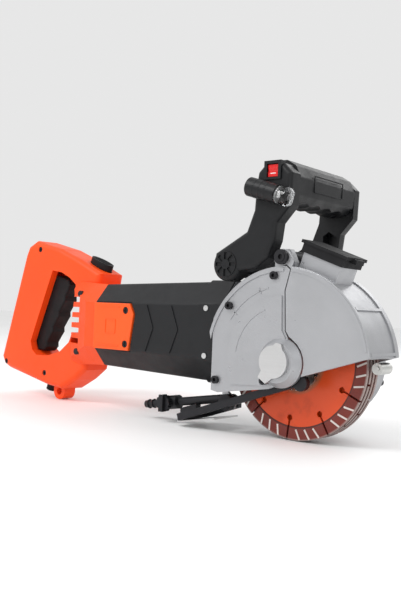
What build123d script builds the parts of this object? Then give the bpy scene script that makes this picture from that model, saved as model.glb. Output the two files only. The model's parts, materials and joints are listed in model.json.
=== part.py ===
from build123d import *
import math
import os

# Wall chaser: a hand-held grooving machine with a gang of diamond blades in a
# cast guard, a longitudinal motor, a closed rear handle and a swinging front
# handle.  Working frame: X forward along the motor, Z up, Y towards the far
# side, zero on the spindle axis at the outer face of the first blade.  At the
# end everything is shifted so that the origin is the bottom centre of the box.

BLADE_R = 66.5
BLADE_N = 4
BLADE_PITCH = 5.4
BLADE_CORE = 1.8
BLADE_SEG = 2.8
BORE_R = 11.1
SLOTS = 10
SLOT_PHASE = -132.3

G_R = 80.5            # guard outer radius
G_CX = 1.0            # guard arc centre, x
G_IN = -23.0          # inner face of the near plates
G_OUT = -26.0         # outer face of the near plates
G_FAR_IN = 23.0
G_FAR = 26.0
REAR_X = -72.0        # rear wall of the guard

YM = 34.0             # motor centre plane
ZM = 21.5             # motor axis height above the spindle
LAY_X = -52.0         # layshaft position
LAY_Z = ZM
HP_X, HP_Z = -58.0, 82.0   # front handle pivot
HY0, HY1 = -30.0, 94.0     # front handle outer faces
SP_X, SP_Z = 12.0, -17.0   # shoe pivot
FLOOR = -67.0


def prism(pts, y0, y1):
    w = Polyline(*[(x, y0, z) for x, z in pts], close=True)
    return extrude(make_face(w), amount=y1 - y0, dir=(0, 1, 0))


def xprism(pts, x0, x1):
    w = Polyline(*[(x0, y, z) for y, z in pts], close=True)
    return extrude(make_face(w), amount=x1 - x0, dir=(1, 0, 0))


def zprism(pts, z0, z1):
    w = Polyline(*[(x, y, z0) for x, y in pts], close=True)
    return extrude(make_face(w), amount=z1 - z0, dir=(0, 0, 1))


def ycyl(r, y0, y1, x=0.0, z=0.0):
    return Pos(x, (y0 + y1) / 2, z) * Rot(90, 0, 0) * Cylinder(r, y1 - y0)


def ytube(ro, ri, y0, y1, x=0.0, z=0.0):
    return ycyl(ro, y0, y1, x, z) - ycyl(ri, y0 - 1, y1 + 1, x, z)


def ycone(r0, r1, y0, y1, x=0.0, z=0.0):
    return Pos(x, (y0 + y1) / 2, z) * Rot(-90, 0, 0) * Cone(r0, r1, y1 - y0)


def xcyl(r, x0, x1, y=0.0, z=0.0):
    return Pos((x0 + x1) / 2, y, z) * Rot(0, 90, 0) * Cylinder(r, x1 - x0)


def xtube(ro, ri, x0, x1, y=0.0, z=0.0):
    return xcyl(ro, x0, x1, y, z) - xcyl(ri, x0 - 1, x1 + 1, y, z)


def box(x0, x1, y0, y1, z0, z1):
    return Pos((x0 + x1) / 2, (y0 + y1) / 2, (z0 + z1) / 2) * Box(
        x1 - x0, y1 - y0, z1 - z0
    )


def soften(part, r, pick=None):
    """Rounds the edges that pick chooses, with the largest radius that holds."""
    edges = part.edges()
    if pick:
        edges = edges.filter_by(pick)
    for k in (1.0, 0.7, 0.45):
        try:
            out = fillet(edges, r * k)
            if out.is_valid and out.volume > 0.5 * part.volume:
                return out
        except Exception:
            continue
    print("soften failed", r)
    return part


def socket_screw_y(x, z, yf, r=3.6, h=3.4, shank=2.0, length=8.0):
    """Pan head screw seen from the near side: head outside yf, shank going far."""
    s = ycyl(r, yf - h, yf, x, z) + ycyl(shank, yf - 0.01, yf + length, x, z)
    hexa = Pos(x, yf - h, z) * Rot(90, 0, 0) * extrude(
        RegularPolygon(r * 0.5, 6), amount=2.0, both=True
    )
    return s - hexa


def spur(z, m, y0, y1, cx, cz, phase, bore, backlash=0.35, add=0.95, ded=1.25):
    r = m * z / 2
    al = math.radians(20)
    rb = r * math.cos(al)
    ra, rf = r + add * m, r - ded * m
    inv = lambda t: math.tan(t) - t
    prof = []
    for i in range(4):
        rho = max(rb, rf) + (ra - max(rb, rf)) * i / 3
        t = math.acos(min(1, rb / rho))
        prof.append((rho, math.pi / (2 * z) - backlash / (2 * r) + inv(al) - inv(t)))
    if rf < rb:
        prof.insert(0, (rf, prof[0][1]))
    pts = []
    for k in range(z):
        c = phase + 2 * math.pi * k / z
        for rho, h in prof:
            pts.append((rho, c - h))
        for rho, h in reversed(prof):
            pts.append((rho, c + h))
    g = prism([(cx + a * math.cos(t), cz + a * math.sin(t)) for a, t in pts], y0, y1)
    return g - ycyl(bore, y0 - 1, y1 + 1, cx, cz)


def bevel(z, r_big, apex, axis, phase, face, other_r, bore, hub):
    """Straight bevel gear: its tooth outline scaled towards the cone apex."""
    m = 2 * r_big / z
    dist = other_r
    rings = []
    for k in (1.0, 1.0 - face / dist):
        pts = []
        for i in range(z):
            c = phase + 2 * math.pi * i / z
            w = math.pi / (2 * z)
            for rho, h in (
                (r_big - 1.2 * m, w * 0.98),
                (r_big, w * 0.66),
                (r_big + 0.45 * m, w * 0.42),
            ):
                pts.append((rho * k, c - h))
            for rho, h in (
                (r_big + 0.45 * m, w * 0.42),
                (r_big, w * 0.66),
                (r_big - 1.2 * m, w * 0.98),
            ):
                pts.append((rho * k, c + h))
        ring = []
        for a, t in pts:
            u, v = a * math.cos(t), a * math.sin(t)
            if axis == "x":
                ring.append((apex[0] - dist * k, apex[1] + u, apex[2] + v))
            else:
                ring.append((apex[0] - u, apex[1] + dist * k, apex[2] + v))
        rings.append(make_face(Polyline(*ring, close=True)))
    g = loft(rings, ruled=True)
    return g


N = {}

# ---------------------------------------------------------------- spindle set
blade_nodes = []
for i in range(BLADE_N):
    yc = BLADE_SEG / 2 + i * BLADE_PITCH
    d = ycyl(BLADE_R - 1.0, yc - BLADE_CORE / 2, yc + BLADE_CORE / 2)
    d += ytube(BLADE_R, BLADE_R - 11.0, yc - BLADE_SEG / 2, yc + BLADE_SEG / 2)
    for k in range(SLOTS):
        a = SLOT_PHASE + k * 360.0 / SLOTS + i * 12.0
        cut = box(48, 70, yc - 3, yc + 3, -0.9, 0.9) + ycyl(2.6, yc - 3, yc + 3, 48, 0)
        d -= Rot(0, -a, 0) * cut
    d -= ycyl(BORE_R, yc - 3, yc + 3)
    N["blade_%d" % (i + 1)] = d
stack_end = (BLADE_N - 1) * BLADE_PITCH + BLADE_SEG

sp = []
for i in range(BLADE_N - 1):
    y0 = BLADE_SEG / 2 + i * BLADE_PITCH + BLADE_CORE / 2
    sp.append(ytube(19, BORE_R, y0, y0 + BLADE_PITCH - BLADE_CORE))
N["blade_spacers"] = Compound(children=sp)

blade_face0 = BLADE_SEG / 2 - BLADE_CORE / 2
blade_face1 = (BLADE_N - 1) * BLADE_PITCH + BLADE_SEG / 2 + BLADE_CORE / 2
N["inner_flange"] = ytube(21, BORE_R, blade_face1, 22.5)
of = ytube(24, BORE_R, blade_face0 - 3.5, blade_face0) + ytube(
    16, BORE_R, blade_face0 - 5.0, blade_face0 - 3.5
)
for k in range(12):
    of -= Rot(0, k * 30, 0) * box(22.4, 26, blade_face0 - 4, blade_face0 + 1, -1.6, 1.6)
N["outer_flange"] = of
nut_y1 = blade_face0 - 5.0
nut = Pos(0, nut_y1 - 4.5, 0) * Rot(90, 0, 0) * extrude(RegularPolygon(14.5, 6), amount=4.5, both=True)
N["spindle_nut"] = nut - ycyl(7.9, nut_y1 - 12, nut_y1 + 2)
shaft = ycyl(6.0, -31.5, -14.0)
shaft += ycyl(7.85, -14.0, -2.0)
shaft += ycyl(BORE_R - 0.05, -2.0, 22.5)
shaft += ycyl(8.45, 22.5, 62.0)
shaft -= xcyl(0.8, -20, 20, -29, 0)
N["spindle_shaft"] = shaft

C_SP = math.hypot(LAY_X, LAY_Z)
ZP, ZG = 12, 30
MOD = 2 * C_SP / (ZP + ZG)
ANG = math.atan2(-LAY_Z, -LAY_X)          # from the layshaft towards the spindle
g_phase = ANG + math.pi + math.pi / ZG     # a gap on the gear faces the pinion
N["spur_gear"] = spur(ZG, MOD, 46.0, 55.0, 0, 0, g_phase, 8.45)
N["spur_pinion"] = spur(ZP, MOD, 45.5, 56.0, LAY_X, LAY_Z, ANG, 6.0)

# ---------------------------------------------------------------- layshaft
RP, RG = 7.0, 19.6
BZP, BZG = 10, 28
apex = (LAY_X, YM, LAY_Z)
bg = bevel(BZG, RG, apex, "y", math.pi / BZG, 2.6, RP, 6.0, 10)
bg += ytube(17.0, 6.0, YM + RP, YM + RP + 3.5, LAY_X, LAY_Z)
bg -= ycyl(6.0, 30, 50, LAY_X, LAY_Z)
N["bevel_gear"] = bg
lay = ycyl(5.95, 36.5, 59.5, LAY_X, LAY_Z)
N["layshaft"] = lay
N["layshaft_bearings"] = Compound(
    children=[
        ytube(11.0, 6.0, 57.0, 63.0, LAY_X, LAY_Z),
    ]
)

# ---------------------------------------------------------------- armature
bp = bevel(BZP, RP, apex, "x", 0.0, 7.0, RG, 3.9, 6)
bp += xcyl(5.4, apex[0] - RG - 3.0, apex[0] - RG, YM, ZM)
bp -= xcyl(3.9, -90, -40, YM, ZM)
N["bevel_pinion"] = bp
ARM_X0, ARM_X1 = -238.0, -66.0
ash = xcyl(3.85, -100.0, -65.5, YM, ZM) + xcyl(5.0, -236.0, -100.0, YM, ZM)
N["armature_shaft"] = ash
core = xtube(25.0, 5.0, -190.0, -128.0, YM, ZM)
for k in range(12):
    core -= Pos(0, YM, ZM) * Rot(k * 30, 0, 0) * box(-191, -127, -1.2, 1.2, 18, 26)
N["armature_core"] = core
comm = xtube(14.0, 5.0, -222.0, -200.0, YM, ZM)
for k in range(12):
    comm -= Pos(0, YM, ZM) * Rot(k * 30, 0, 0) * box(-223, -199, -0.4, 0.4, 12.6, 15)
N["commutator"] = comm
fan = xtube(9.0, 5.0, -124.0, -112.0, YM, ZM) + xtube(34.0, 8.0, -114.0, -112.0, YM, ZM)
for k in range(8):
    fan += Pos(0, YM, ZM) * Rot(k * 45, 0, 0) * Pos(0, 0, 0) * box(-122, -113, -0.8, 0.8, 14, 33)
N["cooling_fan"] = fan
N["motor_bearings"] = Compound(
    children=[
        xtube(13.0, 5.05, -110.5, -102.5, YM, ZM),
        xtube(11.0, 5.05, -236.5, -229.5, YM, ZM),
    ]
)

# ---------------------------------------------------------------- motor housing
def octo(hw, hz, cy, cz):
    return [
        (YM - hw, ZM - hz + cz), (YM - hw + cy, ZM - hz), (YM + hw - cy, ZM - hz),
        (YM + hw, ZM - hz + cz), (YM + hw, ZM + hz - cz), (YM + hw - cy, ZM + hz),
        (YM - hw + cy, ZM + hz), (YM - hw, ZM + hz - cz),
    ]


def octo_loft(x0, s0, x1, s1):
    a = make_face(Polyline(*[(x0, y, z) for y, z in octo(*s0)], close=True))
    b = make_face(Polyline(*[(x1, y, z) for y, z in octo(*s1)], close=True))
    return loft([a, b], ruled=True)


S_REAR = (44.0, 42.5, 17.0, 20.0)
S_FRONT = (46.5, 46.5, 18.0, 22.0)
S_COL = (48.0, 48.0, 18.0, 22.5)
outer = octo_loft(-240.0, S_REAR, -99.0, S_FRONT)
outer = soften(outer, 5.0, lambda e: abs((e @ 0).X - (e @ 1).X) > 50)
collar = octo_loft(-99.0, S_COL, -82.0, S_COL)
collar = soften(collar, 5.0, lambda e: abs((e @ 0).X - (e @ 1).X) > 10)
mh = outer + collar
mh -= octo_loft(-241.0, (40.5, 39.0, 16.0, 18.5), -100.0, (43.0, 43.0, 17.0, 20.5))
mh -= xcyl(30.0, -101, -81, YM, ZM)
spider = xtube(60.0, 13.0, -110.0, -103.0, YM, ZM)
for k in range(4):
    spider -= Pos(0, YM, ZM) * Rot(k * 90 + 45, 0, 0) * box(-111, -102, -12, 12, 18, 38)
spider_cut = octo_loft(-241.0, (43.0, 42.0, 16.0, 18.5), -100.0, (44.5, 44.5, 17.0, 20.5))
mh += spider & spider_cut
rear_ring = xtube(16.0, 11.0, -236.0, -230.0, YM, ZM)
for k in range(4):
    rear_ring += Pos(0, YM, ZM) * Rot(k * 90, 0, 0) * box(-235, -231, -3, 3, 15, 46)
mh += rear_ring & octo_loft(-241.0, (42.0, 40.5, 16.0, 18.5), -100.0, (43.0, 43.0, 17.0, 20.5))
# raised chevrons moulded on both flanks, and a pocket for each brush cover
for side in (-1, 1):
    for xc in (-166.0, -134.0):
        ch = []
        for s in (-1, 1):
            ch.append(box(-1.0, 1.0, -0.7, 0.7, 0, 24))
        yb = YM + side * (44.0 + 2.5 * (xc + 240) / 141.0 + 0.1)
        for s, c in zip((-1, 1), ch):
            mh += Pos(xc + 8, yb, ZM) * Rot(0, 202 if s < 0 else -22, 0) * c
    pocket_pts = [(-241, -4), (-188, -4), (-182, 34), (-188, 46), (-241, 46)]
    y0, y1 = (YM - 50, YM - 42.7) if side < 0 else (YM + 42.7, YM + 50)
    mh -= prism(pocket_pts, y0, y1)
N["motor_housing"] = Compound(children=[max(mh.solids(), key=lambda q: q.volume)])
print("motor housing solids", [round(q.volume, 1) for q in mh.solids()])

stator = xtube(38.5, 26.0, -190.0, -128.0, YM, ZM)
stator -= box(-191, -127, YM - 6, YM + 6, ZM - 40, ZM - 30)
stator -= box(-191, -127, YM - 6, YM + 6, ZM + 30, ZM + 40)
N["stator_core"] = stator
N["field_windings"] = Compound(
    children=[
        (xtube(37.0, 29.0, -198.5, -190.1, YM, ZM)),
    ]
)
hold, brush = [], []
for side in (-1, 1):
    y0, y1 = sorted((YM + side * 15.0, YM + side * 37.0))
    h = box(-217, -205, y0, y1, ZM - 7, ZM + 7) - box(-215, -207, y0 - 1, y1 + 1, ZM - 4.2, ZM + 4.2)
    hold.append(h)
    b0, b1 = sorted((YM + side * 14.1, YM + side * 29.0))
    brush.append(box(-214.6, -207.4, b0, b1, ZM - 3.9, ZM + 3.9))
N["brush_holders"] = Compound(children=hold)
N["carbon_brushes"] = Compound(children=brush)

cov_screws = []
for side, nm in ((-1, "near"), (1, "far")):
    y0, y1 = (YM - 46.3, YM - 42.8) if side < 0 else (YM + 42.8, YM + 46.3)
    pts = [(-239.5, -2.5), (-189.5, -2.5), (-183.8, 34), (-189.5, 44.5), (-239.5, 44.5)]
    c = prism(pts, y0, y1)
    c = soften(c, 1.0, lambda e: abs((e @ 0).Y - (e @ 1).Y) < 0.01 and abs((e @ 0).Y - (y0 if side < 0 else y1)) < 0.01)
    for sx, sz in ((-194.5, 37.5), (-194.0, 4.0)):
        yf = y0 if side < 0 else y1
        c -= ycyl(3.7, min(yf, yf - side * 2.4) - 0.01, max(yf, yf - side * 2.4) + 0.01, sx, sz)
        c -= ycyl(1.9, y0 - 1, y1 + 1, sx, sz)
        hy = yf - side * 2.3
        head = ycyl(3.2, *sorted((hy, hy + side * 1.9)), x=sx, z=sz)
        slot = box(sx - 2.2, sx + 2.2, *sorted((hy + side * 1.0, hy + side * 3)), sz - 0.5, sz + 0.5)
        slot2 = box(sx - 0.5, sx + 0.5, *sorted((hy + side * 1.0, hy + side * 3)), sz - 2.2, sz + 2.2)
        shank = ycyl(1.3, *sorted((hy + side * 0.01, YM + side * 42.8)), x=sx, z=sz)
        cov_screws.append(head + shank - slot - slot2)
    N["brush_cover_" + nm] = c
N["brush_cover_screws"] = Compound(children=cov_screws)

# ---------------------------------------------------------------- rear handle
HW = 19.0
outer_pts = [
    (-371, 113.5), (-384, 107), (-389, 97), (-426, -24), (-421, -33), (-412, -37), (-345, -51),
    (-318, -54), (-296, -42), (-280, -30), (-262, 76), (-298, 92), (-330, 104),
]
rim = prism(outer_pts, YM - HW, YM + HW)
rim = soften(rim, 6.0, lambda e: abs((e @ 0).Y - (e @ 1).Y) < 0.01)
neck = loft(
    [
        make_face(Polyline(*[(-240.0, y, z) for y, z in octo(*S_REAR)], close=True)),
        make_face(Polyline(*[(-256.0, y, z) for y, z in octo(43.0, 43.0, 17.0, 20.0)], close=True)),
    ],
    ruled=True,
)
neck2 = loft(
    [
        make_face(Polyline(*[(-256.0, y, z) for y, z in octo(43.0, 43.0, 17.0, 20.0)], close=True)),
        make_face(Polyline(*[(-300.0, y, z) for y, z in octo(22.0, 46.0, 6.0, 8.0)], close=True)),
    ],
    ruled=True,
)
opening = prism(
    [(-339, 79.0), (-324, 77.0), (-310, 71), (-296, 61), (-293.5, 52), (-299, 30), (-303, 8), (-307, -1),
     (-321, -12), (-341, -18), (-361, -18.5), (-369, -13), (-372.5, -3)],
    YM - 60, YM + 60,
)
lug = ycyl(9.0, YM - 8, YM + 8, -331.5, FLOOR + 9.0) + box(-340.5, -322.5, YM - 8, YM + 8, FLOOR + 9, -48)
# cavity for the motor tail, the switch and the wiring
cav = prism([(-371, 99), (-379, 91), (-415, -18), (-408, -26), (-393, -22), (-390, -4), (-363, 70), (-359, 92)],
            YM - HW + 3, YM + HW - 3)
cav_neck = octo_loft(-239.0, (40.0, 38.5, 15.0, 17.0), -289.0, (20.0, 36.0, 6.0, 8.0))
rim = rim - opening
rim = rim - cav
rim = rim - cav_neck
rim = rim + lug
rim -= ycyl(4.2, YM - 20, YM + 20, -331.5, FLOOR + 9.0)
neck = neck + neck2
neck = neck - opening
neck = neck - cav_neck
# trigger pocket in the front of the grip
TR_TOP = (-319.5, 66.0)
pocket = prism([(-354, 76.5), (-336, 79.5), (-369, -15.5), (-381, -15.5), (-383.5, -2)], YM - 10.5, YM + 10.5)
rim = rim - pocket
slots = [box(-304, -276, YM - 42, YM + 42, 44.1 - k * 11.2, 49.9 - k * 11.2) for k in range(5)]
LB = (-280.0, 84.0)
LBA = 21.5
hole = Pos(LB[0], YM, LB[1]) * Rot(0, LBA, 0) * (
    extrude(Ellipse(16.5, 8.5), amount=16, both=True)
)
rim = rim - hole
# cable gland hole
rim = rim - Pos(-352, YM, -50) * Rot(0, 20, 0) * Cylinder(5.6, 24)
screw_pos = [(-362.0, 103.0), (-346.0, -38.0), (-416.0, -29.5)]
for sx, sz in screw_pos:
    rim = rim - ycyl(3.3, YM - HW - 6, YM - HW + 3.0, sx, sz)


def half(y0, y1):
    keep = box(-450, -200, y0, y1, FLOOR - 20, 150)
    a, b = rim & keep, neck & keep
    h = a + b
    for t in slots:
        h = h - t
    return h


heads = []
near_shell = half(YM - 60, YM)
far_shell = half(YM, YM + 60)
for sx, sz in screw_pos:
    hy = YM - HW + 3.0
    heads.append(
        ycyl(2.9, hy + 0.02 - 2.2, hy + 0.02, sx, sz)
        - ycyl(1.3, hy - 3.0, hy - 1.0, sx, sz)
    )
N["rear_shell_near"] = near_shell
N["rear_shell_far"] = far_shell
N["rear_shell_screws"] = Compound(children=heads)

gland = Pos(-352, YM, -50) * Rot(0, 20, 0) * (
    Pos(0, 0, -1) * (Cylinder(5.5, 16) + Pos(0, 0, 5.5) * Cylinder(7.6, 3)) - Cylinder(3.4, 30)
)
N["cable_gland"] = gland

# trigger paddle with finger grooves
TP_X, TP_Z = -346.5, 69.5
tp = [(-351.0, 74.0), (-337.0, 73.5), (-322.0, 68.5), (-319.5, 63.0)]
for k in range(4):
    bx, bz = -318.0 - k * 9.3, 57.0 - k * 18.0
    tp += [(bx - 4.0, bz), (bx - 9.0, bz - 7.0), (bx - 8.6, bz - 12.0)]
tp += [(-360.0, -14.0), (-370.0, -13.0), (-374.0, -3.0)]
trig = prism(tp, YM - 9.8, YM + 9.8)
trig = soften(trig, 2.6, lambda e: abs((e @ 0).Y - (e @ 1).Y) < 0.01)
trig -= ycyl(2.05, YM - 12, YM + 12, TP_X, TP_Z)
N["trigger_paddle"] = trig
N["trigger_pin"] = ycyl(2.0, YM - 15.9, YM + 15.9, TP_X, TP_Z)
N["switch_module"] = box(-394, -387.0, YM - 9, YM + 9, 10, 40) + box(-387.01, -384.0, YM - 3, YM + 3, 20, 26)
btn = Pos(LB[0], YM, LB[1]) * Rot(0, LBA, 0) * (
    extrude(Ellipse(16.1, 8.1), amount=7)
    + Pos(0, 0, -3.5) * extrude(Ellipse(13.5, 6.5), amount=3.6)
)
btn = soften(btn, 2.4, lambda e: (e @ 0).Z > 88 and e.length > 20)
N["lock_button"] = btn

for nm in ("rear_shell_near", "rear_shell_far"):
    for other in ("cable_gland", "trigger_pin", "rear_shell_screws"):
        N[nm] = N[nm] - N[other]

# ---------------------------------------------------------------- gearbox
gb_pts_in = [(-81.9, ZM - 40), (-81.9, ZM + 40)]
neck_o = octo_loft(-82.0, (47.0, 47.0, 18.0, 22.0), REAR_X, (47.0, 47.0, 18.0, 22.0))
case = neck_o & box(-82, REAR_X, YM - 60, YM + 60, -60, 90)
case += ycyl(50.5, G_FAR, 60.0, 0, 0)
case += prism([(REAR_X, -26), (REAR_X, 66), (-40, 62), (10, 49), (10, -49), (-30, -42)], G_FAR, 60.0)
case -= ycyl(46.8, 33.5, 61.0, 0, 0)
case -= ycyl(24.5, 36.0, 61.0, LAY_X, LAY_Z)
case -= xcyl(9.5, -84.0, -60.0, YM, ZM)
case -= xcyl(24.0, -83.0, -76.5, YM, ZM)
case -= box(-70.0, -34.0, 28.5, 45.0, ZM - 11, ZM + 11)
case -= ycyl(21.5, 28.5, 61.0, LAY_X, LAY_Z)
case -= ycyl(13.0, 20.0, 34.0, 0, 0)
# saddle for the front handle's pivot
sad = prism([(-80, 64), (-74, 92), (-66, 97), (-50, 97), (-42, 92), (-36, 58)], 34.0, 54.0)
case += sad
case -= ycyl(8.05, 20, 70, HP_X, HP_Z)
N["gearbox_housing"] = case
cover = ycyl(50.5, 60.0, 66.0, 0, 0) + prism(
    [(REAR_X, -26), (REAR_X, 66), (-40, 62), (10, 49), (10, -49), (-30, -42)], 60.0, 66.0
)
cover -= ycyl(10.0, 59.0, 64.5, 0, 0)
cover -= ycyl(11.0, 59.0, 64.0, LAY_X, LAY_Z)
cover -= ycyl(8.6, 59.0, 64.5, 0, 0)
N["gearbox_cover"] = soften(cover, 1.5, lambda e: abs((e @ 0).Y - 66.0) < 0.01 and abs((e @ 1).Y - 66.0) < 0.01)
gs = []
for a in (20, 75, -20, -75, 250):
    x, z = 47.2 * math.cos(math.radians(a)), 47.2 * math.sin(math.radians(a))
    if a == 250:
        x, z = -66.0, 50.0
    gs.append(ycyl(3.2, 66.0, 69.0, x, z) - ycyl(1.6, 67.4, 70, x, z))
N["gearbox_cover_screws"] = Compound(children=gs)
N["spindle_bearings"] = Compound(
    children=[
        ytube(13.0, 8.5, 26.0, 33.4, 0, 0),
        ytube(13.0, 6.05, -31.0, -23.5, 0, 0),
    ]
)

# ---------------------------------------------------------------- guard
def disc(r, y0, y1):
    return ycyl(r, y0, y1, G_CX, 0)


big = 200.0
low_line = [(-big, -40), (-64.4, -30.5), (-10.8, -22.6), (16.6, -11.1), (81.6, 9.4), (130, 20)]
upper = prism([(-big, -30.5)] + low_line[1:] + [(130, 200), (-big, 200)], -60, 60)
clip = upper & prism([(REAR_X, -60), (-64.4, -30.5), (130, -30.5), (130, 200), (REAR_X, 200)], -60, 60)
far_pts = prism([(REAR_X, -29.0), (-64.4, -30.5), (-10.8, -22.6), (16.6, -11.1), (81.6, 9.4), (100, 14), (100, 100), (REAR_X, 100)], -60, 60)
shell = (disc(G_R, G_FAR_IN, G_FAR) & far_pts) + (
    (disc(G_R - 1.2, G_IN, G_FAR_IN) - disc(G_R - 4.0, G_IN - 1, G_FAR_IN + 1)) & far_pts
)
shell += box(REAR_X, REAR_X + 3.0, G_IN, G_FAR_IN, -29.0, 34.0) & disc(G_R, -60, 60)
shell += disc(G_R, G_FAR_IN - 3.0, G_FAR_IN) & far_pts & (disc(G_R, 0, 30) - disc(G_R - 3.0, -1, 31))
# cross ribs on the band
for a in (36.0, 8.5):
    shell += Pos(G_CX, 0, 0) * Rot(0, -a, 0) * box(G_R - 3.0, G_R + 0.2, G_IN, G_FAR_IN, -1.3, 1.3)
shell -= ycyl(14.0, 20.0, 27.0, 0, 0)
# dust neck
NK_A = 66.0
nk = Pos(G_CX, 0, 0) * Rot(0, 90 - NK_A - 4.0, 0) * (box(-20, 17, -17, 11, 66, 97))
nk_in = Pos(G_CX, 0, 0) * Rot(0, 90 - NK_A - 4.0, 0) * (box(-17, 14, -14, 8, 60, 98))
shell += nk - disc(G_R - 3.0, -60, 60)
shell -= nk_in & (disc(200, G_IN + 1, G_FAR_IN) - disc(60, -60, 60))
shell -= disc(G_R - 4.0, G_IN - 1, G_FAR_IN - 3.05)
shell += ycyl(6.0, G_FAR, G_FAR + 4.0, 70, 18)
shell += box(REAR_X, REAR_X + 3.0, G_IN, G_FAR_IN, -29.0, 33.5) & disc(G_R, -60, 60)
band_gap = prism([(5.2, 60), (-1.0, 74), (5.2, 96), (120, 96), (120, -40), (5.2, -12)], G_IN - 1, G_IN + 0.3)
shell -= band_gap
N["guard_shell"] = shell

plate = (disc(G_R, G_OUT, G_IN) & far_pts) & prism(
    [(-90, -40), (16.0, -40), (16.0, -11.2), (6.0, 21.8), (3.2, 27), (1.4, 60), (6.2, 78.2), (6.2, 90), (-90, 90)], -60, 60)
plate += ycyl(21.0, G_OUT, G_IN) + ytube(14.0, 6.5, G_IN, -15.6)
plate += Pos(0, G_OUT - 3.5, 0) * Rot(90, 0, 0) * Cone(21.0, 16.5, 7.0)
plate += (disc(56.0, G_OUT - 1.2, G_OUT) - ycyl(5, -40, 0, 100, 0)) & prism(
    [(-90, -24), (-10, -20), (10, -12), (4.0, 21.8), (0.8, 27), (-0.6, 60), (-90, 90)], -60, 60)
plate -= ycyl(13.05, -31.0, -20.0)
plate -= ycyl(7.0, -34.0, -30.0)
rimline = (disc(G_R - 1.2, G_OUT - 0.9, G_OUT) - disc(G_R - 4.2, -60, 0)) & prism(
    [(-71, 4), (0, 60), (0, 90), (-90, 90)], -60, 60)
plate += rimline
plate -= ycyl(6.1, -40, 0, -1.8, 88.0)
N["guard_side_plate"] = plate

cov = (disc(G_R, G_OUT, G_IN) & far_pts) & prism(
    [(6.8, 78.2), (2.2, 60), (4.0, 27.2), (7.6, 22.2)]
    + [(22.6 * math.cos(math.radians(a)), 22.6 * math.sin(math.radians(a))) for a in (60, 45, 30, 15, 0, -15, -28)]
    + [(20.4, -30), (120, -30), (120, 100), (6.8, 100)], -60, 60)
cov += prism([(6.9, 78.3), (9.5, 84.0), (4.6, 91.4), (-1.8, 94.8), (-1.8, 82.6), (2.0, 82.4)], G_OUT, G_IN)
cov += ycyl(7.0, G_OUT, G_IN, -1.8, 88.0)
cov += (disc(G_R - 1.2, G_OUT - 0.9, G_OUT) - disc(G_R - 4.2, -60, 0)) & prism([(8.0, 60), (8.0, 90), (100, 90), (100, 20), (70, 12)], -60, 60)
cov -= ycyl(4.1, -40, 0, -1.8, 88.0)
N["guard_front_cover"] = soften(cov, 0.6, lambda e: abs((e @ 0).Y - G_OUT) < 0.01 and abs((e @ 1).Y - G_OUT) < 0.01 and e.length > 12)
N["cover_hinge_bolt"] = ycyl(4.0, -29.9, G_IN + 0.5, -1.8, 88.0) + ycyl(6.4, -29.4, G_OUT - 0.15, -1.8, 88.0) - ycyl(2.2, -30.5, -28.0, -1.8, 88.0)
N["cross_tube"] = ytube(6.0, 4.05, G_IN + 0.6, 34.0, -1.8, 88.0)
lugs = prism([(-12, 74), (-12, 84), (-6.0, 95), (2.4, 95), (8, 84), (8, 76)], 14.0, G_FAR_IN) - disc(G_R - 3.6, -60, 60)
lugs += prism([(-12, 74), (-12, 84), (-6.0, 95), (2.4, 95), (8, 84), (8, 76)], -21.5, -15.0) - disc(G_R - 3.6, -60, 60)
N["guard_shell"] = N["guard_shell"] + lugs - ycyl(6.02, -30, 34.1, -1.8, 88.0)

ps = []
for x, z in ((-9.0, 72.6), (-54.6, 46.0), (-66.5, -19.5), (-14.0, -15.8)):
    yf = G_OUT - (0.0 if (x * x + z * z) > 57 ** 2 else 1.2) - (0 if x != -14.0 else 0.8)
    ps.append(socket_screw_y(x, z, yf, 3.5, 2.8, 1.9, 6.0 if x == -14.0 else 4.0))
N["guard_screws"] = Compound(children=ps)
bore_set = [(x, z) for x, z in ((-9.0, 72.6), (-54.6, 46.0), (-66.5, -19.5), (-14.0, -15.8))]
p2 = N["guard_side_plate"] - N["guard_screws"] - prism([(2.6, 80.2), (6.3, 77.4), (7, 85), (2, 85)], -30, -20)
for x, z in bore_set:
    p2 = p2 - ycyl(1.9, -40, 0, x, z)
N["guard_side_plate"] = p2
cap = ycyl(13.6, G_OUT - 10.0, G_OUT - 7.05, -1.0, 1.0) + prism(
    [(-6, 10), (1, 17), (6.4, 16), (8.5, 8)], G_OUT - 9.6, G_OUT - 7.05) + prism(
    [(-12, -6), (-15.5, -12.5), (-8.0, -17.5), (2, -10)], G_OUT - 9.6, G_OUT - 7.05)
N["hub_cap"] = soften(cap, 0.9, lambda e: abs((e @ 0).Y - (G_OUT - 10.0)) < 0.01 and abs((e @ 1).Y - (G_OUT - 10.0)) < 0.01)

# dust neck cap
cp = Pos(G_CX, 0, 0) * Rot(0, 90 - NK_A - 4.0, 0) * (
    box(-22.0, 19.0, -19.0, 13.0, 91.5, 100.5) - box(-20.15, 17.15, -17.15, 11.15, 80.0, 97.2)
    + box(19.0, 24.5, -9, 4, 96.5, 100.5) + box(-24.0, 21.0, -20.2, 14.2, 98.6, 101.2)
)
N["dust_cap"] = cp

# front roller
RX, RZ = 74.0, 0.0
N["front_roller"] = ytube(4.8, 2.05, 2.0, 19.6, RX, RZ)
N["front_roller_axle"] = ycyl(2.0, 1.0, 23.05, RX, RZ)

# ---------------------------------------------------------------- shoe
S_T, C_T = math.sin(math.radians(18.7)), math.cos(math.radians(18.7))


def along(d, up):
    """A point on the shoe line: d forward from its rear end, up above it."""
    return (-112.0 + d * C_T - up * S_T, -61.5 + d * S_T + up * C_T)


def rail(y0, y1, d1=126.0):
    return prism([along(0, 0), along(d1, 0), along(d1, 6.5), along(0, 6.5)], y0, y1)


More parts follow.
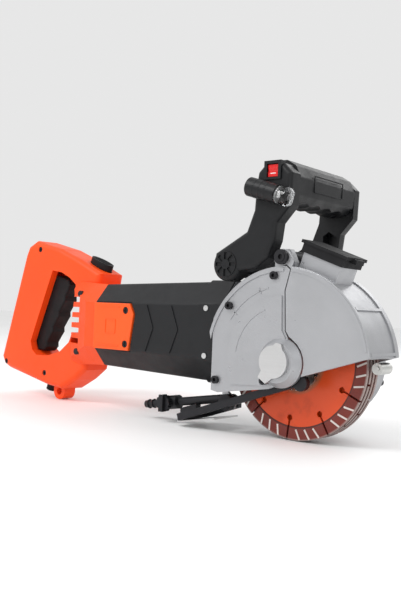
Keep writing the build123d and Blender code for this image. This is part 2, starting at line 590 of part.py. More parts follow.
shoe = rail(-21.6, -16.6, 132.0)
shoe += ycyl(6.6, -21.6, -16.6, 17.0, -15.6)
shoe += ycyl(18.0, -21.6, -16.6) + prism([(-10, -24), (-12, -10), (12, -10), (18, -16)], -21.6, -16.6)
shoe += rail(18.6, 22.4, 44.0) & box(-200, REAR_X - 0.5, -60, 60, -100, 100)
shoe += prism([along(0, 0), along(4.0, 0), along(4.0, 6.5), along(0, 6.5)], -21.6, 22.4)
shoe -= ycyl(14.06, -22, -16)
N["shoe_rail"] = shoe
skid = prism([(-118.0, -64.4), (-73.5, -56.4), (-73.5, -54.9), (-118.0, -62.9)], -16.6, 18.6)
skid += prism([(-118.0, -64.4), (-116.5, -64.4), (-112.2, -56.0), (-113.7, -56.0)], -16.6, 18.6)
N["skid_plate"] = skid - shoe

# water feed: barb, valve and tube, carried by a bracket on the shoe
br = prism([(-112.0, -56.5), (-106.0, -54.5), (-106.0, -46.5), (-125.0, -52.5), (-125.0, -57.5)], -3.5, 3.5) - shoe
N["water_bracket"] = br - N["skid_plate"]
a_w = math.radians(9.0)
wt = Pos(-103, 0, -43.0) * Rot(0, 90 - 9.0, 0) * Cylinder(4.0, 50)
wt = wt - Pos(-103, 0, -43.0) * Rot(0, 90 - 9.0, 0) * Cylinder(2.6, 52)
N["water_tube"] = wt - N["water_bracket"]
vb = Pos(-140.5, 0, -49.0) * Rot(0, 90 - 9.0, 0) * (Cylinder(6.6, 22) - Cylinder(2.6, 30))
barb = Pos(-161.5, 0, -52.3) * Rot(0, 90 - 9.0, 0) * (
    Cylinder(3.6, 20.4) + Pos(0, 0, -7) * Cone(3.6, 4.6, 3.4) + Pos(0, 0, -1) * Cone(3.6, 4.6, 3.4) - Cylinder(2.2, 30))
vb = vb - ycyl(2.55, -8, 0, -140.5, -49.0)
N["water_valve_body"] = vb - N["water_tube"]
N["water_barb"] = barb - vb
kn = ycyl(8.2, -12.0, -7.0, -140.5, -49.0) + ycyl(2.5, -7.0, -3.0, -140.5, -49.0)
kn += box(-143.0, -138.0, -15.0, -12.0, -57.0, -41.0)
for k in range(12):
    kn -= Pos(-140.5, 0, -49.0) * Rot(0, k * 30 + 15, 0) * ycyl(1.2, -12.5, -6.5, 8.6, 0)
N["water_valve_knob"] = kn

# depth stop bolt on the rear wall of the guard
SBX, SBZ = -63.0, -40.0
N["stop_bolt"] = ycyl(5.0, -14.0, -1.5, SBX, SBZ) + ycyl(7.4, -16.3, -11.5, SBX, SBZ)
N["stop_bracket"] = prism([(-72, -28.9), (-69.2, -28.9), (-57.5, -37.5), (-58.5, -45.5), (-68, -45.5), (-72, -38)], -8.6, -5.4) - N["stop_bolt"]
N["stop_rings"] = ytube(7.0, 5.0, -11.2, -9.4, SBX, SBZ) + ytube(7.0, 5.0, -4.8, -3.0, SBX, SBZ)

# ---------------------------------------------------------------- front handle
arm_pts = [(-44, 76), (-72, 84), (-70.5, 92), (-56, 100), (-38, 110), (-31, 128), (-30, 148), (-28, 160), (-22, 166),
           (-2, 166), (6, 158), (5, 131), (-7.5, 117), (-9.5, 102), (-15.5, 87), (-28, 78)]


def arm(y0, y1, face, r):
    a = prism(arm_pts, y0, y1) + ycyl(14.8, y0, y1, HP_X, HP_Z)
    a = soften(a, r, lambda e: abs((e @ 0).Y - face) < 0.01 and abs((e @ 1).Y - face) < 0.01)
    return a - ycyl(8.05, y0 - 1, y1 + 1, HP_X, HP_Z)


an = arm(HY0, -15.0, HY0, 4.0)
af = arm(79.0, HY1, HY1, 8.0)
for k, (a_, y0, y1) in enumerate(((an, -24.0, -14.0), (af, 78.0, 88.0))):
    ch = prism([(-26, 100), (-16, 96), (-12, 104), (-10, 114), (-20, 120), (-26, 116)], y0, y1)
    if k == 0:
        an = a_ - ch
    else:
        af = a_ - ch
N["handle_arm_near"] = an - ycyl(11.4, HY0 - 1, HY0 + 3.0, HP_X, HP_Z) - box(-20.4, -3.6, -31, -23.6, 152.8, 169)
N["handle_arm_far"] = af - ycyl(11.4, HY1 - 3.0, HY1 + 1, HP_X, HP_Z)
grip_pts = [(-30, 141), (-26, 134.5), (-16, 132.5), (-2, 134.5), (5, 141), (6, 156), (1, 166), (-8, 171.5), (-18, 171.5), (-27, 165), (-30.5, 154)]
grip = prism(grip_pts, -15.0, 79.0)
grip = soften(grip, 3.0, lambda e: abs((e @ 0).Y - (e @ 1).Y) > 50)
for k in range(4):
    grip -= xcyl(19.0, -50, 30, 4.0 + k * 19.0, 117.5)
N["handle_grip"] = grip
sl = ytube(10.6, 8.05, -15.0, 33.4, HP_X, HP_Z) + ytube(10.6, 8.05, 54.6, 79.0, HP_X, HP_Z)
N["pivot_sleeves"] = sl
N["pivot_rod"] = ycyl(8.0, -26.5, 90.5, HP_X, HP_Z)
pc = []
for y0, y1, s in ((HY0 - 0.6, HY0 + 3.0, -1), (HY1 - 3.0, HY1 + 0.6, 1)):
    c = ycyl(11.3, y0, y1, HP_X, HP_Z)
    for k in range(8):
        yy0, yy1 = (y0 - 1, y0 + 1.2) if s < 0 else (y1 - 1.2, y1 + 1)
        c -= Pos(HP_X, 0, HP_Z) * Rot(0, k * 45, 0) * box(4.2, 10.4, yy0, yy1, -1.6, 1.6)
    pc.append(c)
N["pivot_covers"] = Compound(children=pc)

# torch on the near leg
tdir = (52.0, -15.0)
TA = math.degrees(math.atan2(15.0, 52.0))
tc = (-10.0, 141.0)
T = Pos(tc[0], -34.2, tc[1]) * Rot(0, 90 + TA, 0)
body = T * (Pos(0, 0, -8) * Cylinder(8.2, 30) - Pos(0, 0, 4) * Cylinder(7.0, 8))
N["torch_body"] = body - N["handle_arm_near"] - box(-60, 60, -30.0, 0, 90, 180)
lens = Pos(0, 0, 13.5) * Cylinder(7.7, 13.0)
lens = soften(lens, 3.0, lambda e: e.center().Z > 19)
lens += Pos(0, 0, 5.6) * Cylinder(6.9, 3.2)
N["torch_lens"] = T * lens - box(-60, 60, -30.0, 0, 90, 180)
N["torch_lamp"] = T * (Pos(0, 0, 2.0) * Cylinder(6.0, 3.0)) - box(-60, 60, -30.0, 0, 90, 180)

# rocker switch in a wedge bezel at the top near corner
RKX, RKY, RKZ = -12.0, -27.0, 158.0
bez = box(-20.4, -3.6, -31.4, -23.6, 152.8, 168.6) - box(-17.6, -6.4, -32.4, -25.0, 154.6, 166.0)
N["switch_bezel"] = bez
rk = box(-17.2, -6.8, -30.0, -26.6, 155.2, 165.4)
rk -= Pos(-12, -31.6, 163.4) * Rot(12, 0, 0) * Box(12, 3.0, 9.0)
N["rocker_key"] = rk

# ---------------------------------------------------------------- grouping
def gather(target, *names):
    """Small pieces of one kind that are fitted together become one node."""
    solids = []
    for nm in names:
        solids += list(N.pop(nm).solids())
    N[target] = Compound(children=solids)


band = octo_loft(-82.0, S_COL, REAR_X - 0.2, S_COL) - octo_loft(-83.0, (47.0, 47.0, 18.0, 22.0), REAR_X, (47.0, 47.0, 18.0, 22.0))
N["collar_band"] = band - N["gearbox_housing"] - N["guard_side_plate"]

N["torch_body"] = N["torch_body"] - N["switch_bezel"]
gather("stop_bolt", "stop_bolt", "stop_rings")
gather("bearings", "motor_bearings", "layshaft_bearings", "spindle_bearings")
gather("case_screws", "brush_cover_screws", "rear_shell_screws", "gearbox_cover_screws", "trigger_pin")
gather("cross_tube", "cross_tube", "cover_hinge_bolt")
gather("water_valve_body", "water_valve_body", "water_barb")
gather("torch_body", "torch_body", "torch_lamp")
gather("guard_shell", "guard_shell", "stop_bracket")
gather("shoe_rail", "shoe_rail", "water_bracket")
gather("handle_arm_near", "handle_arm_near", "switch_bezel")

# ---------------------------------------------------------------- export
allbox = Compound(children=list(N.values())).bounding_box()
off = Vector(-(allbox.min.X + allbox.max.X) / 2, -(allbox.min.Y + allbox.max.Y) / 2, -allbox.min.Z)
os.makedirs("parts", exist_ok=True)
for name, shape in N.items():
    solids = shape.solids()
    solids = [s_ for s_ in solids if s_.volume > 0.5]
    out = Compound(children=[s_.moved(Location(off)) for s_ in solids]) if len(solids) > 1 else solids[0].moved(Location(off))
    bb = out.bounding_box()
    print("%-22s n=%d vol=%9.0f ok=%s  x %.1f %.1f y %.1f %.1f z %.1f %.1f" % (
        name, len(solids), out.volume, out.is_valid, bb.min.X - off.X, bb.max.X - off.X,
        bb.min.Y - off.Y, bb.max.Y - off.Y, bb.min.Z - off.Z, bb.max.Z - off.Z))
    export_step(out, "parts/%s.step" % name)
print("offset", off, "size", allbox.size)
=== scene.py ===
import bpy
import bmesh
import json
import math
from mathutils import Matrix, Vector

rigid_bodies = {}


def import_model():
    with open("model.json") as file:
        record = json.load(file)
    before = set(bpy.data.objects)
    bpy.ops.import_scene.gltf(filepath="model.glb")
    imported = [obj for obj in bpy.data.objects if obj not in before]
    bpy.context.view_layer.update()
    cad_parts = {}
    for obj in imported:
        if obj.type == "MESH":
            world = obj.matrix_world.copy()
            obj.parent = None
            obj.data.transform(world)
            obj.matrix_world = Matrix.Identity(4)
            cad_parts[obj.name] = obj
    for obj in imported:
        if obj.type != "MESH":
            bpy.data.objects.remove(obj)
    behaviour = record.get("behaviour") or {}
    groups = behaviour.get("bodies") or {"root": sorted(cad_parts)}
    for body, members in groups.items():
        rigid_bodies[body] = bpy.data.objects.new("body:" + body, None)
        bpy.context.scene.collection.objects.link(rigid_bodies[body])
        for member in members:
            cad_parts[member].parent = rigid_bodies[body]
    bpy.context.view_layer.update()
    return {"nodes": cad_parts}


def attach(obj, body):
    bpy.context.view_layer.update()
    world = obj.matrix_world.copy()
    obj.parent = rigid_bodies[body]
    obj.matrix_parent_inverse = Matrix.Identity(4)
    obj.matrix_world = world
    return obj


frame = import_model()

OX, OY, OZ = 0.172497, -0.0261, 0.067     # working frame of the part source to the row frame
nodes = frame["nodes"]


def W(x, y, z):
    return Vector((x / 1000 + OX, y / 1000 + OY, z / 1000 + OZ))


# ------------------------------------------------------------------ materials
def new_mat(name):
    m = bpy.data.materials.new(name)
    m.use_nodes = True
    nt = m.node_tree
    nt.nodes.clear()
    out = nt.nodes.new("ShaderNodeOutputMaterial")
    b = nt.nodes.new("ShaderNodeBsdfPrincipled")
    nt.links.new(b.outputs["BSDF"], out.inputs["Surface"])
    return m, nt, b


def coords(nt, scale=(1, 1, 1)):
    tc = nt.nodes.new("ShaderNodeTexCoord")
    mp = nt.nodes.new("ShaderNodeMapping")
    mp.inputs["Scale"].default_value = scale
    nt.links.new(tc.outputs["Object"], mp.inputs["Vector"])
    return mp.outputs["Vector"]


def noise(nt, vec, scale, detail=4.0, rough=0.6):
    n = nt.nodes.new("ShaderNodeTexNoise")
    n.inputs["Scale"].default_value = scale
    n.inputs["Detail"].default_value = detail
    n.inputs["Roughness"].default_value = rough
    nt.links.new(vec, n.inputs["Vector"])
    return n.outputs["Fac"]


def ramp(nt, fac, stops):
    r = nt.nodes.new("ShaderNodeValToRGB")
    els = r.color_ramp.elements
    while len(els) < len(stops):
        els.new(0.5)
    for e, (p, c) in zip(els, stops):
        e.position = p
        e.color = c if len(c) == 4 else (*c, 1)
    nt.links.new(fac, r.inputs["Fac"])
    return r.outputs["Color"]


def math_node(nt, op, a, b=None):
    n = nt.nodes.new("ShaderNodeMath")
    n.operation = op
    for i, v in enumerate((a, b)):
        if v is None:
            continue
        if isinstance(v, (int, float)):
            n.inputs[i].default_value = v
        else:
            nt.links.new(v, n.inputs[i])
    return n.outputs[0]


def mix(nt, fac, a, b):
    n = nt.nodes.new("ShaderNodeMix")
    n.data_type = "RGBA"
    for i, v in ((0, fac), (6, a), (7, b)):
        if isinstance(v, (int, float)):
            n.inputs[i].default_value = v
        elif isinstance(v, tuple):
            n.inputs[i].default_value = (*v, 1) if len(v) == 3 else v
        else:
            nt.links.new(v, n.inputs[i])
    return n.outputs[2]


def bump(nt, b, height, strength, dist=0.0005, under=None):
    n = nt.nodes.new("ShaderNodeBump")
    n.inputs["Strength"].default_value = strength
    n.inputs["Distance"].default_value = dist
    nt.links.new(height, n.inputs["Height"])
    if under is not None:
        nt.links.new(under, n.inputs["Normal"])
    if b is not None:
        nt.links.new(n.outputs["Normal"], b.inputs["Normal"])
    return n.outputs["Normal"]


def shade(nt, col, k):
    return tuple(min(1.0, c * k) for c in col)


def surface(name, col, rough, metal=0.0, grain=900, grain_k=0.15, wear=None, tone=0.12, spread=0.12, brushed=None, coat=0.0, spec=0.5):
    """A moulded, cast or turned surface: fine grain, cloudy tone, uneven gloss and rubbed edges."""
    m, nt, b = new_mat(name)
    v = coords(nt, brushed or (1, 1, 1))
    cloud = noise(nt, v, 22.0, 5.0)
    fine = noise(nt, v, float(grain), 3.0)
    c = ramp(nt, cloud, [(0.3, shade(nt, col, 1 - tone)), (0.7, shade(nt, col, 1 + tone))])
    if wear:
        g = nt.nodes.new("ShaderNodeNewGeometry")
        brk = noise(nt, v, 160.0, 6.0, 0.7)
        edge = ramp(nt, g.outputs["Pointiness"], [(0.52, (0, 0, 0)), (0.60, (1, 1, 1))])
        f = math_node(nt, "MULTIPLY", edge, ramp(nt, brk, [(0.45, (0, 0, 0)), (0.62, (1, 1, 1))]))
        c = mix(nt, math_node(nt, "MULTIPLY", f, 0.55), c, wear)
    nt.links.new(c, b.inputs["Base Color"])
    r0 = ramp(nt, noise(nt, v, 55.0, 6.0), [(0.3, (max(0.05, rough - spread),) * 3), (0.7, (min(1, rough + spread),) * 3)])
    nt.links.new(r0, b.inputs["Roughness"])
    b.inputs["Metallic"].default_value = metal
    b.inputs["Specular IOR Level"].default_value = spec
    if coat:
        b.inputs["Coat Weight"].default_value = coat
        b.inputs["Coat Roughness"].default_value = 0.25
    bump(nt, b, fine, grain_k, 0.0003)
    return m


M = {}
M["orange"] = surface("shell_orange", (0.90, 0.075, 0.006), 0.42, grain=2600, grain_k=0.22, tone=0.04, spread=0.08, spec=0.3)
M["cover"] = surface("cover_orange", (0.92, 0.10, 0.010), 0.38, grain=2600, grain_k=0.15, tone=0.04, spread=0.07, spec=0.32)
M["charcoal"] = surface("body_charcoal", (0.0085, 0.009, 0.0105), 0.46, grain=2200, grain_k=0.35, tone=0.12, spread=0.1, spec=0.3)
M["black"] = surface("handle_black", (0.006, 0.0064, 0.0075), 0.42, grain=2400, grain_k=0.3, tone=0.12, spread=0.1, spec=0.3)
M["rubber"] = surface("rubber_black", (0.008, 0.008, 0.009), 0.65, grain=1500, grain_k=0.4, tone=0.2, spread=0.12, spec=0.25)
M["cast"] = surface("guard_cast", (0.40, 0.405, 0.42), 0.36, metal=0.6, grain=1400, grain_k=0.45, tone=0.05, spread=0.1)
M["case"] = surface("gear_case", (0.38, 0.385, 0.40), 0.45, metal=0.55, grain=1200, grain_k=0.55, tone=0.08, spread=0.12)
M["plate"] = surface("plate_steel", (0.58, 0.58, 0.58), 0.33, metal=0.9, grain=1800, grain_k=0.06, tone=0.04, spread=0.05, brushed=(1, 12, 12))
M["darksteel"] = surface("dark_steel", (0.022, 0.022, 0.025), 0.42, metal=0.6, grain=1100, grain_k=0.25, tone=0.15, spread=0.12)
M["steel"] = surface("steel", (0.5, 0.5, 0.51), 0.3, metal=1.0, grain=1100, grain_k=0.15, tone=0.08, spread=0.1)
M["zinc"] = surface("zinc", (0.6, 0.6, 0.58), 0.34, metal=1.0, grain=1100, grain_k=0.18, tone=0.1, spread=0.12)
M["copper"] = surface("copper", (0.72, 0.3, 0.14), 0.35, metal=1.0, grain=1100, grain_k=0.2, tone=0.12, spread=0.1, brushed=(14, 1, 1))
M["white"] = surface("roller_white", (0.75, 0.75, 0.73), 0.4, grain=1600, grain_k=0.15, tone=0.05, spread=0.08)
M["red"] = surface("switch_red", (0.68, 0.006, 0.006), 0.22, grain=1200, grain_k=0.06, tone=0.05, spread=0.06)
M["ridge"] = surface("ridge_silver", (0.72, 0.66, 0.62), 0.45, metal=0.5, grain=1500, grain_k=0.5, tone=0.2, spread=0.15)
M["mark"] = surface("mark_white", (0.85, 0.85, 0.83), 0.5, grain=1500, grain_k=0.05, tone=0.03, spread=0.05)

# clear lens: thin tinted glass with moulded facets
m, nt, b = new_mat("lens_clear")
b.inputs["Base Color"].default_value = (0.93, 0.95, 0.97, 1)
b.inputs["Transmission Weight"].default_value = 1.0
b.inputs["IOR"].default_value = 1.46
v = coords(nt)
nt.links.new(ramp(nt, noise(nt, v, 200.0), [(0.3, (0.02,) * 3), (0.7, (0.08,) * 3)]), b.inputs["Roughness"])
vo = nt.nodes.new("ShaderNodeTexVoronoi")
vo.inputs["Scale"].default_value = 420.0
nt.links.new(v, vo.inputs["Vector"])
bump(nt, b, vo.outputs["Distance"], 0.6, 0.0006)
M["lens"] = m


def blade_material():
    """Painted core, darker sintered rim with a scribed ring between, rubbed by grit."""
    m, nt, b = new_mat("blade_painted")
    tc = nt.nodes.new("ShaderNodeTexCoord")
    sep = nt.nodes.new("ShaderNodeSeparateXYZ")
    nt.links.new(tc.outputs["Object"], sep.inputs[0])
    x = math_node(nt, "SUBTRACT", sep.outputs[0], OX)
    z = math_node(nt, "SUBTRACT", sep.outputs[2], OZ)
    r = math_node(nt, "SQRT", math_node(nt, "ADD", math_node(nt, "MULTIPLY", x, x), math_node(nt, "MULTIPLY", z, z)))
    rn = math_node(nt, "MULTIPLY", r, 1000 / 70.0)
    base = ramp(nt, rn, [
        (0.0, (0.10, 0.10, 0.10)), (0.36, (0.35, 0.1, 0.04)), (0.40, (0.70, 0.068, 0.006)), (0.782, (0.72, 0.068, 0.006)),
        (0.788, (0.05, 0.012, 0.008)), (0.799, (0.05, 0.012, 0.008)), (0.806, (0.17, 0.02, 0.012)), (0.93, (0.16, 0.022, 0.014)), (0.95, (0.33, 0.26, 0.24))])
    cloud = noise(nt, tc.outputs["Object"], 60.0, 6.0)
    scr = noise(nt, tc.outputs["Object"], 700.0, 3.0)
    c = mix(nt, ramp(nt, cloud, [(0.52, (0, 0, 0)), (0.8, (0.5, 0.5, 0.5))]), base, (0.25, 0.02, 0.005))
    nt.links.new(c, b.inputs["Base Color"])
    nt.links.new(ramp(nt, cloud, [(0.3, (0.3,) * 3), (0.7, (0.5,) * 3)]), b.inputs["Roughness"])
    nt.links.new(ramp(nt, rn, [(0.79, (0.0,) * 3), (0.94, (0.15,) * 3), (0.96, (0.7,) * 3)]), b.inputs["Metallic"])
    grit = math_node(nt, "MULTIPLY", scr, ramp(nt, rn, [(0.79, (0.12,) * 3), (0.81, (1.0,) * 3)]))
    bump(nt, b, grit, 0.7, 0.0005)
    return m


M["blade"] = blade_material()

ASSIGN = {
    "orange": ["rear_shell_near", "rear_shell_far"],
    "cover": ["brush_cover_near", "brush_cover_far"],
    "charcoal": ["motor_housing", "collar_band"],
    "black": ["handle_arm_near", "handle_arm_far", "handle_grip", "pivot_sleeves", "pivot_covers", "torch_body"],
    "rubber": ["dust_cap", "cable_gland", "trigger_paddle", "lock_button", "switch_module", "cooling_fan", "carbon_brushes"],
    "cast": ["guard_shell", "guard_side_plate", "guard_front_cover"],
    "case": ["gearbox_housing", "gearbox_cover"],
    "plate": ["hub_cap", "skid_plate"],
    "darksteel": ["water_tube", "water_valve_body", "shoe_rail", "stop_bolt", "water_valve_knob", "case_screws", "guard_screws", "cross_tube"],
    "zinc": ["front_roller", "front_roller_axle", "outer_flange", "spindle_nut"],
    "copper": ["commutator", "field_windings", "brush_holders"],
    "white": [],
    "red": ["rocker_key"],
    "lens": ["torch_lens"],
    "blade": ["blade_1", "blade_2", "blade_3", "blade_4"],
}
where = {n: k for k, v in ASSIGN.items() for n in v}
for name, ob in nodes.items():
    mat = M[where.get(name, "steel")]
    ob.data.materials.clear()
    ob.data.materials.append(mat)
BEVEL = {"rear_shell_near": 0.7, "rear_shell_far": 0.7, "motor_housing": 0.6, "guard_shell": 0.5, "guard_side_plate": 0.5, "guard_front_cover": 0.3,
         "gearbox_housing": 0.8, "gearbox_cover": 0.4, "handle_arm_near": 0.6, "handle_arm_far": 0.6, "handle_grip": 0.7, "dust_cap": 1.0,
         "trigger_paddle": 0.5, "lock_button": 1.2, "hub_cap": 0.5, "shoe_rail": 0.5, "skid_plate": 0.25, "torch_body": 0.4, "rocker_key": 0.5,
         "brush_cover_near": 0.3, "brush_cover_far": 0.3, "water_valve_knob": 0.4, "water_valve_body": 0.3, "stop_bolt": 0.4, "pivot_covers": 0.4,
         "spindle_nut": 0.4, "outer_flange": 0.3, "guard_screws": 0.3, "cross_tube": 0.4, "front_roller": 0.5}
for name, w in BEVEL.items():
    ob = nodes[name]
    md = ob.modifiers.new("edge_round", "BEVEL")
    md.width = w / 1000
    md.segments = 2
    md.limit_method = "ANGLE"
    md.angle_limit = math.radians(32)
    md.harden_normals = False


# ------------------------------------------------------------------ detail pieces
def add_mesh(name, verts, faces, mat, body):
    me = bpy.data.meshes.new(name)
    me.from_pydata([tuple(v) for v in verts], [], faces)
    me.update()
    bm = bmesh.new()
    bm.from_mesh(me)
    bmesh.ops.recalc_face_normals(bm, faces=bm.faces)
    bm.to_mesh(me)
    bm.free()
    ob = bpy.data.objects.new(name, me)
    bpy.context.scene.collection.objects.link(ob)
    ob.data.materials.append(mat)
    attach(ob, body)
    return ob


class Sink:
    """Collects plates and bars into one mesh."""

    def __init__(self):
        self.v, self.f = [], []

    def plate(self, outline, y0, y1):
        """A flat plate: outline in X and Z, from y0 to y1."""
        n, s = len(outline), len(self.v)
        for y in (y0, y1):
            self.v += [W(x, y, z) for x, z in outline]
        self.f.append(tuple(range(s, s + n)))
        self.f.append(tuple(range(s + 2 * n - 1, s + n - 1, -1)))
        for i in range(n):
            j = (i + 1) % n
            self.f.append((s + i, s + j, s + n + j, s + n + i))

    def bar(self, p, q, width, y0, y1):
        (x0, z0), (x1, z1) = p, q
        dx, dz = x1 - x0, z1 - z0
        k = width / 2 / math.hypot(dx, dz)
        nx, nz = -dz * k, dx * k
        self.plate([(x0 + nx, z0 + nz), (x1 + nx, z1 + nz), (x1 - nx, z1 - nz), (x0 - nx, z0 - nz)], y0, y1)

    def arc(self, cx, cz, r, width, a0, a1, y0, y1, n=40):
        pts = []
        for i in range(n + 1):
            a = math.radians(a0 + (a1 - a0) * i / n)
            pts.append((cx + (r + width / 2) * math.cos(a), cz + (r + width / 2) * math.sin(a)))
        for i in range(n, -1, -1):
            a = math.radians(a0 + (a1 - a0) * i / n)
            pts.append((cx + (r - width / 2) * math.cos(a), cz + (r - width / 2) * math.sin(a)))
        for i in range(n):
            q = [pts[i], pts[i + 1], pts[2 * n - i], pts[2 * n + 1 - i]]
            self.plate(q, y0, y1)

    def done(self, name, mat, body):
        return add_mesh(name, self.v, self.f, mat, body)


# slanted ridges on every segment, three to a segment, on both faces of the stack
for tag, yf, ydir, off in (("blade_ridges_near", 0.0, -1, 0.0), ("blade_ridges_far", 19.0, 1, 36.0)):
    s = Sink()
    for k in range(10):
        a0 = -132.3 + 36 * k + off
        for d in (9.5, 18.0, 26.5):
            a, a2 = math.radians(a0 + d - 1.6), math.radians(a0 + d + 1.6)
            p = (57.2 * math.cos(a), 57.2 * math.sin(a))
            q = (65.9 * math.cos(a2), 65.9 * math.sin(a2))
            s.bar(p, q, 1.5, *sorted((yf + ydir * 0.35, yf - ydir * 0.3)))
    s.done(tag, M["ridge"], "spindle")

# embossing on the guard's side plate: an arc with two ticks, raised rim lines
s = Sink()
s.arc(1, 0, 64.0, 1.1, 104, 148, -26.45, -25.9)
s.arc(1, 0, 47.0, 0.8, 112, 172, -27.55, -27.1)
for a in (112, 141):
    c, d = math.cos(math.radians(a)), math.sin(math.radians(a))
    s.bar((1 + 61 * c, 61 * d), (1 + 67 * c, 67 * d), 1.0, -26.45, -25.9)
s.done("guard_emboss", M["cast"], "machine")

# square outline and arrow rib on the near brush cover, and its frame on the far one
for tag, y0, y1 in (("cover_marks_near", -12.75, -12.2), ("cover_marks_far", 80.2, 80.75)):
    s = Sink()
    for p, q in (((-222, 14), (-208, 14)), ((-208, 14), (-208, 28)), ((-208, 28), (-222, 28)), ((-222, 28), (-222, 14))):
        s.bar(p, q, 0.8, y0, y1)
    s.bar((-235, 40.5), (-203, 40.5), 0.9, y0, y1)
    s.bar((-235, 1.5), (-203, 1.5), 0.9, y0, y1)
    s.done(tag, M["cover"], "machine")

# longitudinal ribs moulded on the top and bottom of the housing
s = Sink()
for yc in (14.0, 34.0, 54.0):
    for sgn, zz in ((1, 67.6), (-1, -24.6)):
        pts = [(-232, 63.9 if sgn > 0 else -20.9), (-104, zz), (-104, zz - sgn * 1.2), (-232, (63.9 if sgn > 0 else -20.9) - sgn * 1.2)]
        s.plate(pts, yc - 1.0, yc + 1.0)
s.done("housing_ribs", M["charcoal"], "machine")

# bright screw heads in the front collar
for i, (x, z) in enumerate(((-90.5, 43.0), (-90.5, -0.5))):
    for side, yy in (("n", -14.4), ("f", 82.2)):
        s = Sink()
        s.plate([(x + 2.6 * math.cos(t * math.pi / 10), z + 2.6 * math.sin(t * math.pi / 10)) for t in range(20)], yy - 0.35 if side == "n" else yy - 0.4, yy + 0.6 if side == "n" else yy + 0.15)
        s.bar((x - 1.7, z), (x + 1.7, z), 0.5, *((-14.78, -14.7) if side == "n" else (82.35, 82.4)))
        s.done("collar_screw_%s%d" % (side, i), M["plate"], "machine")

# ribbed thumb pads on the lock button
s = Sink()
for k in range(-3, 4):
    c = (-280.0 + 3.2 * k * math.cos(math.radians(21.5)), 84.0 - 3.2 * k * math.sin(math.radians(21.5)))
    nx, nz = math.sin(math.radians(21.5)), math.cos(math.radians(21.5))
    w0 = 5.4 * math.sqrt(1 - (3.2 * k / 15.5) ** 2)
    s.bar((c[0] + nx * 6.7, c[1] + nz * 6.7), (c[0] + nx * 7.45, c[1] + nz * 7.45), 1.1, 34 - w0, 34 + w0)
s.done("lock_button_ribs", M["rubber"], "lock_button")

# front panel outline on the grip
s = Sink()
for y0 in (8.0, 56.0):
    s.plate([(5.6, 146.5), (6.25, 146.5), (6.25, 160.0), (5.6, 160.0)], y0 - 0.5, y0 + 0.5)
for z0 in (146.5, 160.0):
    s.plate([(5.3, z0 - 0.45), (6.2, z0 - 0.45), (6.2, z0 + 0.45), (5.3, z0 + 0.45)], 8.0, 56.0)
s.done("grip_panel_line", M["black"], "front_handle")

# reflector dish and lamp bead seen through the torch lens
ta = math.atan2(15.0, 52.0)
axis_dir = Vector((math.cos(ta), 0, -math.sin(ta)))
tc = W(-10.0, -34.2, 141.0)
rot = axis_dir.to_track_quat("Z", "Y").to_matrix().to_4x4()


def turned(name, rings, mat, body, n=28):
    """A turned piece on the torch axis: rings of (distance along, radius) in mm."""
    verts, faces = [], []
    for d, r in rings:
        for i in range(n):
            t = 2 * math.pi * i / n
            p = rot @ Vector((r * math.cos(t) / 1000, r * math.sin(t) / 1000, d / 1000)) + tc
            p.y = min(p.y, W(0, -30.05, 0).y)
            verts.append(p)
    for k in range(len(rings) - 1):
        for i in range(n):
            j = (i + 1) % n
            faces.append((k * n + i, k * n + j, (k + 1) * n + j, (k + 1) * n + i))
    faces.append(tuple(range(n - 1, -1, -1)))
    faces.append(tuple(range((len(rings) - 1) * n, len(rings) * n)))
    return add_mesh(name, verts, faces, mat, body)


turned("torch_reflector", [(7.6, 6.6), (8.0, 6.7), (8.3, 6.2), (7.9, 2.2)], M["plate"], "front_handle")
turned("torch_bead", [(8.4, 1.8), (10.2, 1.7), (11.0, 0.9)], M["mark"], "front_handle")
for i, d in enumerate((-3.0, -9.0, -15.0)):
    turned("torch_ring_%d" % i, [(d - 0.9, 8.25), (d - 0.5, 8.38), (d + 0.5, 8.38), (d + 0.9, 8.25)], M["black"], "front_handle")

# handle screws beside the air slots
s = Sink()
for x, z in ((-276.0, 53.0), (-279.0, -9.0)):
    s.plate([(x + 3.4 * math.cos(t * math.pi / 10), z + 3.4 * math.sin(t * math.pi / 10)) for t in range(20)], 0.6, 6.0)
    s.bar((x - 1.8, z), (x + 1.8, z), 0.7, 0.45, 0.7)
s.done("handle_neck_screws", M["darksteel"], "machine")

# marks on the rocker
s = Sink()
s.bar((-14.6, 158.0), (-9.4, 158.0), 0.7, -30.12, -29.9)
s.done("rocker_marks", M["mark"], "rocker")

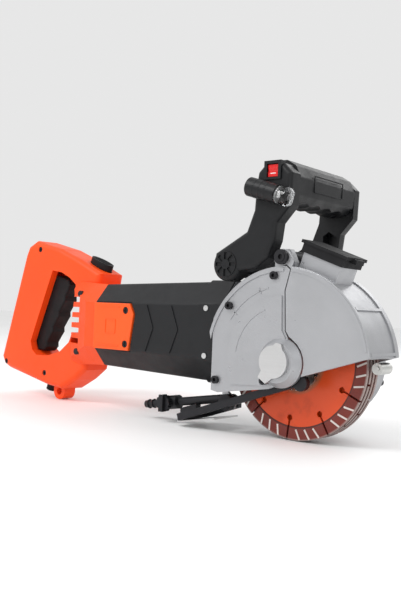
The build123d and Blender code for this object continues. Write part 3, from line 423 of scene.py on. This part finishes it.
# ------------------------------------------------------------------ stage
bpy.ops.mesh.primitive_plane_add(size=14, location=(0, 0, -0.0004))
floor = bpy.context.object
floor.name = "floor"
m, nt, b = new_mat("floor_pale")
nt.links.new(ramp(nt, noise(nt, coords(nt), 3.0), [(0.3, (0.92, 0.92, 0.92)), (0.7, (0.95, 0.95, 0.95))]), b.inputs["Base Color"])
b.inputs["Roughness"].default_value = 0.65
floor.data.materials.append(m)

w = bpy.data.worlds.new("studio")
w.use_nodes = True
bg = w.node_tree.nodes["Background"]
bg.inputs["Color"].default_value = (1, 1, 1, 1)
bg.inputs["Strength"].default_value = 0.8
bpy.context.scene.world = w


def area(name, loc, target, size, power):
    d = bpy.data.lights.new(name, "AREA")
    d.energy = power
    d.size = size
    o = bpy.data.objects.new(name, d)
    bpy.context.scene.collection.objects.link(o)
    o.location = loc
    o.rotation_euler = (Vector(target) - Vector(loc)).to_track_quat("-Z", "Y").to_euler()
    return o


area("key", (-0.5, -1.3, 1.5), (0, 0, 0.1), 0.8, 17)
area("fill", (1.4, -0.9, 0.9), (0, 0, 0.1), 1.2, 5)
area("back", (0.2, 1.4, 1.3), (0, 0, 0.1), 1.4, 9)

cd = bpy.data.cameras.new("cam")
cd.sensor_width = 36
cd.sensor_fit = "AUTO"
cd.lens = 800 * 36 / 601
cd.dof.use_dof = False
cam = bpy.data.objects.new("cam", cd)
bpy.context.scene.collection.objects.link(cam)
R = Matrix(((0.77602, -0.02552, 0.63020), (0.62932, -0.03525, -0.77635), (0.04203, 0.99905, -0.01129)))
cam.matrix_world = Matrix.Translation(W(365.2, -583.9, 41.5)) @ R.to_4x4()
bpy.context.scene.camera = cam
bpy.context.scene.view_settings.view_transform = "Standard"

# the torch's rings end at the body's outer face
bpy.context.view_layer.update()
for o in bpy.data.objects:
    if o.type == "MESH" and o.name.startswith("torch_ring"):
        back = o.matrix_world.inverted()
        for v in o.data.vertices:
            p = o.matrix_world @ v.co
            if p.y < -0.06847:
                p.y = -0.06847
                v.co = back @ p
